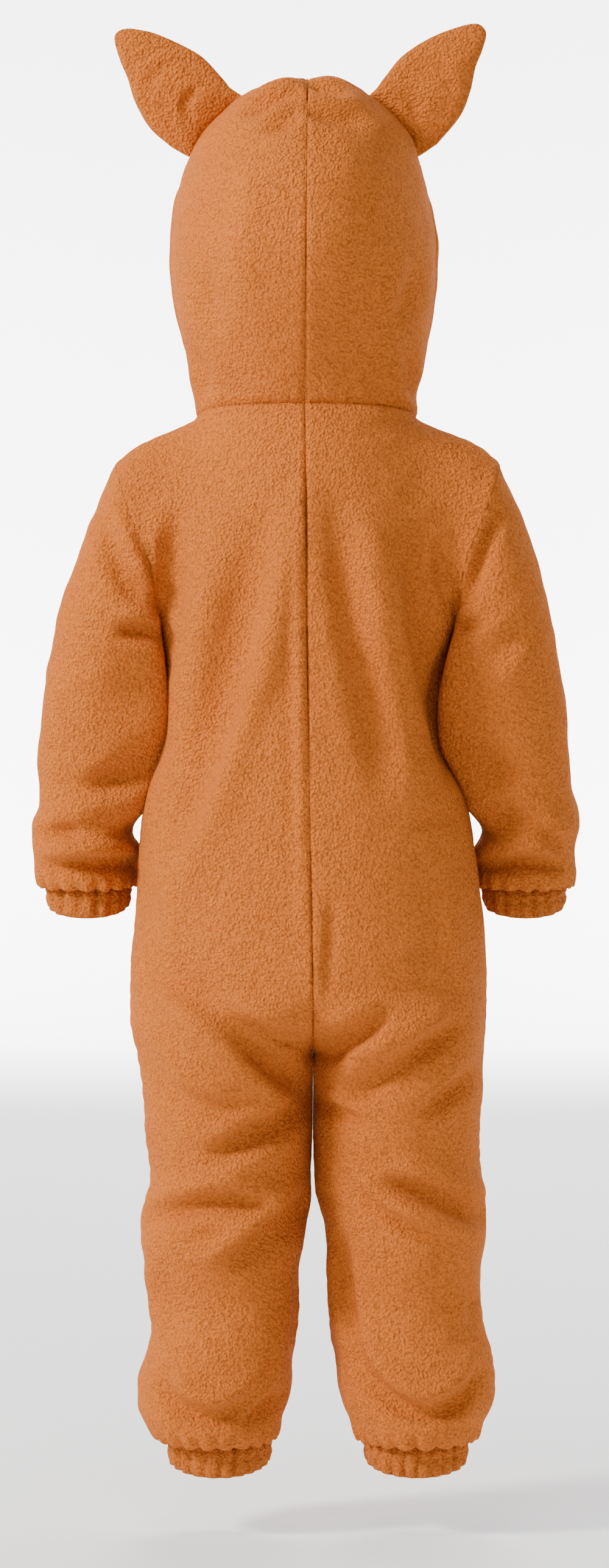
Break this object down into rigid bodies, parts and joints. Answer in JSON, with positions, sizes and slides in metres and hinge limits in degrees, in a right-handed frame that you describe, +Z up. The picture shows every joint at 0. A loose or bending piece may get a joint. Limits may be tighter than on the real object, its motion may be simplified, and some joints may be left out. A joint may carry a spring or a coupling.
{
  "type": "hooded fleece jumpsuit costume with animal ears",
  "caption": "Toddler's hooded fleece jumpsuit costume with two padded pointed ears, gathered cuffs and a front zip, worn and hollow.",
  "frame": {"origin": "the middle of the neck seam between the shoulders, where the wearer carries the garment", "axes": "+Z up along the body, +X to the wearer's left, +Y to the wearer's back"},
  "size_m": [0.351, 0.171, 0.9218],
  "materials": {
    "fleece": "matte nap",
    "cuff": "matte nap",
    "zip_tape": "woven tape",
    "zip_metal": "satin"
  },
  "bodies": {
    "garment": {"hood_left": "fleece", "hood_right": "fleece", "back_left": "fleece", "back_right": "fleece", "front_left": "fleece", "front_right": "fleece", "sleeve_left": "fleece", "sleeve_right": "fleece", "ear_left_back": "fleece", "ear_left_front": "fleece", "ear_right_back": "fleece", "ear_right_front": "fleece", "wrist_cuff_left": "cuff", "wrist_cuff_right": "cuff", "ankle_cuff_left": "cuff", "ankle_cuff_right": "cuff", "zip_left": "zip_tape", "zip_right": "zip_tape", "zip_slider": "zip_metal"},
    "zip_pull": {"zip_pull": "zip_metal"}
  },
  "joints": [
    {"name": "zip_pull_hinge", "type": "hinge", "parent": "garment", "child": "zip_pull", "pos_m": [0, -0.05907, -0.03727], "axis": [-1, 0, 0], "range_deg": [0, 160]}
  ]
}
